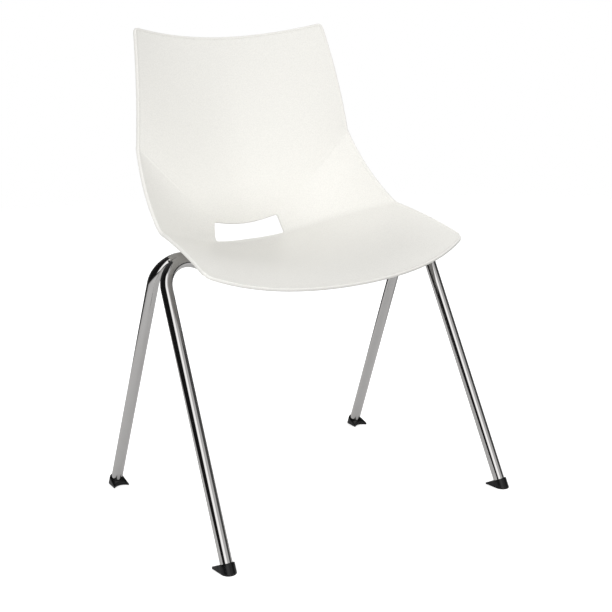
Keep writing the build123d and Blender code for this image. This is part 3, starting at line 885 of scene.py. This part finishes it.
def shaded(colour, share):
    """A darker or lighter version of a colour."""
    return tuple(c * share for c in colour)


def node_group(name, inputs, outputs):
    """Empty shader group with its sockets; each is (name, type, default)."""
    group = bpy.data.node_groups.new(name, "ShaderNodeTree")
    for in_out, sockets in (("INPUT", inputs), ("OUTPUT", outputs)):
        for label, kind, default in sockets:
            socket = group.interface.new_socket(label, in_out=in_out, socket_type="NodeSocket" + kind)
            if default is not None:
                socket.default_value = default
    return group, group.nodes.new("NodeGroupInput").outputs, group.nodes.new("NodeGroupOutput")


def grain_group():
    """Moulded grain: fine noise plus rounded cells for height, that noise as flecks, broad noise as clouds."""
    group, given, result = node_group(
        "moulded_grain", [("Vector", "Vector", None), ("Scale", "Float", 800.0), ("Cloud Scale", "Float", 12.0)],
        [("Height", "Float", None), ("Fleck", "Float", None), ("Cloud", "Float", None)])
    place, scale = given["Vector"], given["Scale"]
    fine = add_node(group, "TexNoise", Vector=place, Scale=scale, Detail=2.0, Roughness=0.6).outputs["Fac"]
    cell = add_node(group, "TexVoronoi", settings={"feature": "SMOOTH_F1"}, Vector=place, Scale=scale)
    cloud = add_node(group, "TexNoise", Vector=place, Scale=given["Cloud Scale"], Detail=3.0, Roughness=0.55)
    feed(result, Height=arithmetic(group, "ADD", fine, cell.outputs["Distance"]),
         Fleck=spread(group, fine, 0.35, 0.65, 0.0, 1.0), Cloud=cloud.outputs["Fac"])
    return group


def wear_group():
    """Wear along edges: a mask of how sharply the surface stands out, broken up by noise."""
    group, given, result = node_group("edge_wear", [("Vector", "Vector", None)], [("Mask", "Float", None)])
    sharp = spread(group, add_node(group, "NewGeometry").outputs["Pointiness"], 0.52, 0.60, 0.0, 1.0)
    noise = add_node(group, "TexNoise", Vector=given["Vector"], Scale=160.0, Detail=3.0).outputs["Fac"]
    feed(result, Mask=arithmetic(group, "MULTIPLY", sharp, noise))
    return group


def new_material(name):
    """Material with a Principled shader, and its Object coordinates."""
    material = bpy.data.materials.new(PREFIX + name)
    material.use_nodes = True
    tree = material.node_tree
    tree.nodes.clear()
    shader = add_node(tree, "BsdfPrincipled")
    add_node(tree, "OutputMaterial", shader.outputs["BSDF"])
    return material, tree, shader, add_node(tree, "TexCoord").outputs["Object"]


def grained(name, colours, mask, roughness, grain, scales, relief, wear=None):
    """Grained finish: two colours mixed by a mask, clouds of gloss between two roughnesses, and a fine relief.

    The mask is an output of the grain group, or of the wear group where that is given.
    """
    _, tree, shader, place = new_material(name)
    grain = add_node(tree, "Group", settings={"node_tree": grain},
                     Vector=place, Scale=scales[0], Cloud_Scale=scales[1])
    source = add_node(tree, "Group", settings={"node_tree": wear}, Vector=place) if wear else grain
    strength, depth = relief
    bump = add_node(tree, "Bump", Strength=strength, Distance=depth, Height=grain.outputs["Height"])
    return feed(shader, Base_Color=mix_colours(tree, source.outputs[mask], *colours),
                Roughness=spread(tree, grain.outputs["Cloud"], 0.3, 0.7, *roughness),
                Normal=bump.outputs["Normal"])


def moulded_plastic(name, colour, shade, scale, depth, roughness, grain, strength=0.3):
    """Moulded plastic: fine grain in height and colour, and clouds of slightly different gloss."""
    colours = shaded(colour, shade), colour
    shader = grained(name, colours, "Fleck", roughness, grain, (scale, 9.0), (strength, depth))
    shader.inputs["Specular IOR Level"].default_value = 0.45


def plated_metal(name, colour, roughness, grain, ripple=0.00002, scale=60.0):
    """Polished plate: a mirror with faint clouds of gloss and a very slight waviness from the metal below."""
    shader = grained(name, (shaded(colour, 0.94), colour), "Cloud", (roughness * 0.6, roughness * 1.5), grain,
                     (scale, 25.0), (0.1, ripple))
    shader.inputs["Metallic"].default_value = 1.0


def worn_metal(name, colour, worn, roughness, grain, wear):
    """Plain metal part with a fine tooth and brighter edges."""
    shader = grained(name, (colour, worn), "Mask", (roughness * 0.8, roughness * 1.25), grain, (900.0, 80.0),
                     (0.2, 0.00004), wear)
    shader.inputs["Metallic"].default_value = 1.0


def materials(scene):
    """All of the chair's materials by slot name, made once."""
    made = {m.name[len(PREFIX):]: m for m in bpy.data.materials if m.name.startswith(PREFIX)}
    if "shell_plastic" in made:
        return made
    shell, tube, feet = scene.chair_shell, scene.chair_tube, scene.chair_feet
    grain, wear = grain_group(), wear_group()
    black, chrome = tuple(feet.colour), tuple(tube.colour)
    white = tuple(shell.colour)
    moulded_plastic("shell_plastic", white, 0.93, 1 / shell.grain, 0.00015, (0.42, 0.52), grain, 0.35)
    moulded_plastic("foot_plastic", black, 0.7, 1500.0, 0.00006, (0.20, 0.32), grain)
    moulded_plastic("clip_plastic", black, 0.8, 1300.0, 0.00005, (0.35, 0.5), grain)
    moulded_plastic("pad_rubber", black, 0.8, 700.0, 0.0001, (0.75, 0.9), grain, 0.5)
    plated_metal("chrome_tube", chrome, tube.roughness, grain)
    plated_metal("chrome_plate", shaded(chrome, 0.95), tube.roughness * 1.8, grain, 0.00003, 140.0)
    plated_metal("weld_metal", shaded(chrome, 0.85), tube.roughness * 4, grain, 0.0002, 500.0)
    worn_metal("fastener_steel", (0.52, 0.53, 0.55), (0.8, 0.8, 0.82), 0.32, grain, wear)
    worn_metal("insert_brass", (0.62, 0.46, 0.20), (0.85, 0.68, 0.36), 0.3, grain, wear)
    return materials(scene)


def coat(piece, material):
    """Gives a piece one material and no other."""
    piece.data.materials.clear()
    piece.data.materials.append(material)


# ---- operators

class CHAIR_OT_shell(bpy.types.Operator):
    """Make the moulded seat shell with its rim, hand slot and bosses."""
    bl_idname = "chair.shell"
    bl_label = "Seat shell"

    def execute(self, context):
        scene = context.scene
        piece = make_shell(scene.chair_shell)
        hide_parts("seat_shell")
        coat(piece, materials(scene)["shell_plastic"])
        return {"FINISHED"}


class CHAIR_OT_tubes(bpy.types.Operator):
    """Make the two bent chromed tubes."""
    bl_idname = "chair.tubes"
    bl_label = "Leg tubes"

    def execute(self, context):
        scene = context.scene
        for end in LEGS:
            coat(make_tube(end, scene.chair_tube), materials(scene)["chrome_tube"])
        return {"FINISHED"}


class CHAIR_OT_feet(bpy.types.Operator):
    """Make the four moulded feet."""
    bl_idname = "chair.feet"
    bl_label = "Feet"

    def execute(self, context):
        scene = context.scene
        for end in LEGS:
            for side in SIDES:
                coat(make_foot(end, side, scene.chair_feet), materials(scene)["foot_plastic"])
        return {"FINISHED"}


class CHAIR_OT_small_parts(bpy.types.Operator):
    """Finish the CAD parts that stay as they are: brackets, pads, inserts, screws, washers, clips and webs."""
    bl_idname = "chair.small_parts"
    bl_label = "Small parts"

    def execute(self, context):
        finishes = materials(context.scene)
        slots = {row["node"]: row["material_slot"] for row in frame["record"]["subparts"]}
        for name, node in frame["nodes"].items():
            if not node.hide_render:
                coat(node, finishes[slots[name]])
        return {"FINISHED"}


def camera_axes():
    """Right, up and back directions of the camera from its azimuth, elevation and roll."""
    azimuth, elevation, roll = (math.radians(a) for a in (CAMERA_AZIMUTH, CAMERA_ELEVATION, CAMERA_ROLL))
    back = np.array([math.sin(azimuth) * math.cos(elevation), -math.cos(azimuth) * math.cos(elevation),
                     math.sin(elevation)])
    right = np.array([math.cos(azimuth), math.sin(azimuth), 0])
    up = np.cross(back, right)
    return (math.cos(roll) * right + math.sin(roll) * up, math.cos(roll) * up - math.sin(roll) * right, back)


def placed(axes, place):
    """Matrix of an object from its right, up and back directions and its place."""
    rows = np.eye(4)
    rows[:3, :3] = np.stack(axes, -1)
    rows[:3, 3] = place
    return Matrix(rows.tolist())


def make_camera(scene):
    """The camera, with everything in focus."""
    data = bpy.data.cameras.new("camera")
    data.lens, data.sensor_width, data.clip_end = CAMERA_LENS, CAMERA_SENSOR, 100.0
    camera = bpy.data.objects.new("camera", data)
    scene.collection.objects.link(camera)
    camera.matrix_world = placed(camera_axes(), CAMERA_PLACE)
    scene.camera = camera


def make_key_light(scene, stage):
    """Rectangular light that faces its target and leaves no reflection."""
    data = bpy.data.lights.new("key", "AREA")
    data.shape, (data.size, data.size_y) = "RECTANGLE", KEY_SIZE
    data.energy, data.spread = stage.key_power, math.radians(KEY_SPREAD)
    light = bpy.data.objects.new("key", data)
    scene.collection.objects.link(light)
    back = unit(np.array(KEY_PLACE) - KEY_TARGET)
    right = unit(np.cross([0, 0, 1.0], back))
    light.matrix_world = placed((right, np.cross(back, right), back), KEY_PLACE)
    light.visible_glossy = light.visible_camera = False


def make_floor(scene, stage):
    """Round pale floor. It looks white, fades into the white round it, and is a small grey disc to all else."""
    turn = np.linspace(0, 2 * math.pi, 96, endpoint=False)
    radii = np.array([0.001, 1.0, 3.0, 9.0])
    ring = np.stack([np.cos(turn), np.sin(turn), np.zeros_like(turn)], -1)
    points = (radii[:, None, None] * ring).reshape(-1, 3)
    mesh = bpy.data.meshes.new("floor")
    mesh.from_pydata(points.tolist(), [], grid_quads(len(radii), len(turn), wrap=True).tolist())
    floor = bpy.data.objects.new("floor", mesh)
    scene.collection.objects.link(floor)
    material, tree, shader, place = new_material("floor")
    rays = add_node(tree, "LightPath").outputs
    colour, radius = tuple(stage.floor_colour), stage.floor_radius
    far = measure(tree, "DISTANCE", place, LIT_FLOOR_CENTRE)
    unlit = spread(tree, far, radius * 0.75, radius * 1.25, 0.0, 1.0)
    mirrored = mix_colours(tree, unlit, shaded(colour, FLOOR_MIRRORED), (0.02, 0.02, 0.02))
    unseen = mix_colours(tree, rays["Is Glossy Ray"], shaded(colour, FLOOR_BOUNCED), mirrored)
    feed(shader, Base_Color=mix_colours(tree, rays["Is Camera Ray"], unseen, colour), Roughness=0.9,
         Specular_IOR_Level=0.1, Emission_Color=(1, 1, 1, 1),
         Emission_Strength=spread(tree, rays["Is Camera Ray"], 0.0, 1.0, 0.0, stage.floor_glow),
         Alpha=spread(tree, measure(tree, "LENGTH", place), *FLOOR_FADE, 1.0, 0.0))
    coat(floor, material)


def compass(azimuth, elevation=0.0):
    """Unit direction at an azimuth from +X towards +Y and an elevation, in degrees."""
    a, e = math.radians(azimuth), math.radians(elevation)
    return np.array([math.cos(a) * math.cos(e), math.sin(a) * math.cos(e), math.sin(e)])


def half_space(tree, direction, normal, softness):
    """1 on the side of a plane through the origin that its normal points to, 0 on the other."""
    return spread(tree, measure(tree, "DOT_PRODUCT", direction, normal), -softness, softness, 0.0, 1.0)


def screen(tree, direction, azimuths, elevations, softness, level):
    """Bright rectangle in the reflected studio, between two azimuths and two elevations, as four planes."""
    centre = sum(azimuths) / 2
    upright = [(azimuths[0] + 90,), (azimuths[1] - 90,)]
    for plane in (*upright, (centre, elevations[0] + 90), (centre, elevations[1] - 90)):
        level = arithmetic(tree, "MULTIPLY", half_space(tree, direction, compass(*plane), softness), level)
    return level


def make_world(scene, stage):
    """White to look at, soft light stronger from one side, and a dark studio with screens in reflections."""
    scene.world = bpy.data.worlds.new("studio")
    scene.world.use_nodes = True
    tree = scene.world.node_tree
    tree.nodes.clear()
    rays = add_node(tree, "LightPath").outputs
    direction = add_node(tree, "TexCoord").outputs["Generated"]
    ambient, lean = stage.ambient, stage.ambient_lean
    lit_side = measure(tree, "DOT_PRODUCT", direction, compass(*LIGHT_SIDE))
    ambient = spread(tree, lit_side, -1.0, 1.0, ambient - lean, ambient + lean)
    dark_side = half_space(tree, direction, compass(DARK_SIDE), DARK_SIDE_SOFTNESS)
    studio = arithmetic(tree, "MULTIPLY", dark_side, DARK_SIDE_LEVEL)
    for row in SCREENS:
        studio = arithmetic(tree, "MAXIMUM", studio, screen(tree, direction, *row))
    studio = arithmetic(tree, "MAXIMUM", studio, STUDIO_LEVEL)
    seen, soft, mirrored = (add_node(tree, "Background", (1, 1, 1, 1), strength).outputs[0]
                            for strength in (1.0, ambient, studio))
    unseen = add_node(tree, "MixShader", rays["Is Glossy Ray"], soft, mirrored).outputs[0]
    total = add_node(tree, "MixShader", rays["Is Camera Ray"], unseen, seen).outputs[0]
    add_node(tree, "OutputWorld", total)


class CHAIR_OT_stage(bpy.types.Operator):
    """Make the floor, the lights and the camera."""
    bl_idname = "chair.stage"
    bl_label = "Stage"

    def execute(self, context):
        scene = context.scene
        make_camera(scene)
        make_floor(scene, scene.chair_stage)
        make_world(scene, scene.chair_stage)
        make_key_light(scene, scene.chair_stage)
        scene.view_settings.view_transform = "Standard"
        return {"FINISHED"}


class CHAIR_PT_panel(bpy.types.Panel):
    """Lists the steps that make the chair, and its settings."""
    bl_idname = "CHAIR_PT_panel"
    bl_label = "Stacking chair"
    bl_space_type = "VIEW_3D"
    bl_region_type = "UI"
    bl_category = "Chair"

    def draw(self, context):
        scene = context.scene
        for settings in (scene.chair_shell, scene.chair_tube, scene.chair_feet, scene.chair_stage):
            box = self.layout.box()
            for name in settings.__annotations__:
                box.prop(settings, name)
        for operator in OPERATORS:
            self.layout.operator(operator.bl_idname)


SETTINGS = {"chair_shell": ShellSettings, "chair_tube": TubeSettings, "chair_feet": FootSettings,
            "chair_stage": StageSettings}
OPERATORS = (CHAIR_OT_shell, CHAIR_OT_tubes, CHAIR_OT_feet, CHAIR_OT_small_parts, CHAIR_OT_stage)


def register():
    """Makes the settings, operators and panel known, and puts the settings on the scene."""
    for group in SETTINGS.values():
        bpy.utils.register_class(group)
    for operator in (*OPERATORS, CHAIR_PT_panel):
        bpy.utils.register_class(operator)
    for name, group in SETTINGS.items():
        setattr(bpy.types.Scene, name, bpy.props.PointerProperty(type=group))


def unregister():
    """Undoes register."""
    for name in SETTINGS:
        delattr(bpy.types.Scene, name)
    for kind in (CHAIR_PT_panel, *OPERATORS, *SETTINGS.values()):
        bpy.utils.unregister_class(kind)


def main():
    """Makes the whole chair and its stage."""
    register()
    bpy.ops.chair.shell()
    bpy.ops.chair.tubes()
    bpy.ops.chair.feet()
    bpy.ops.chair.small_parts()
    bpy.ops.chair.stage()


if __name__ == "__main__":
    main()
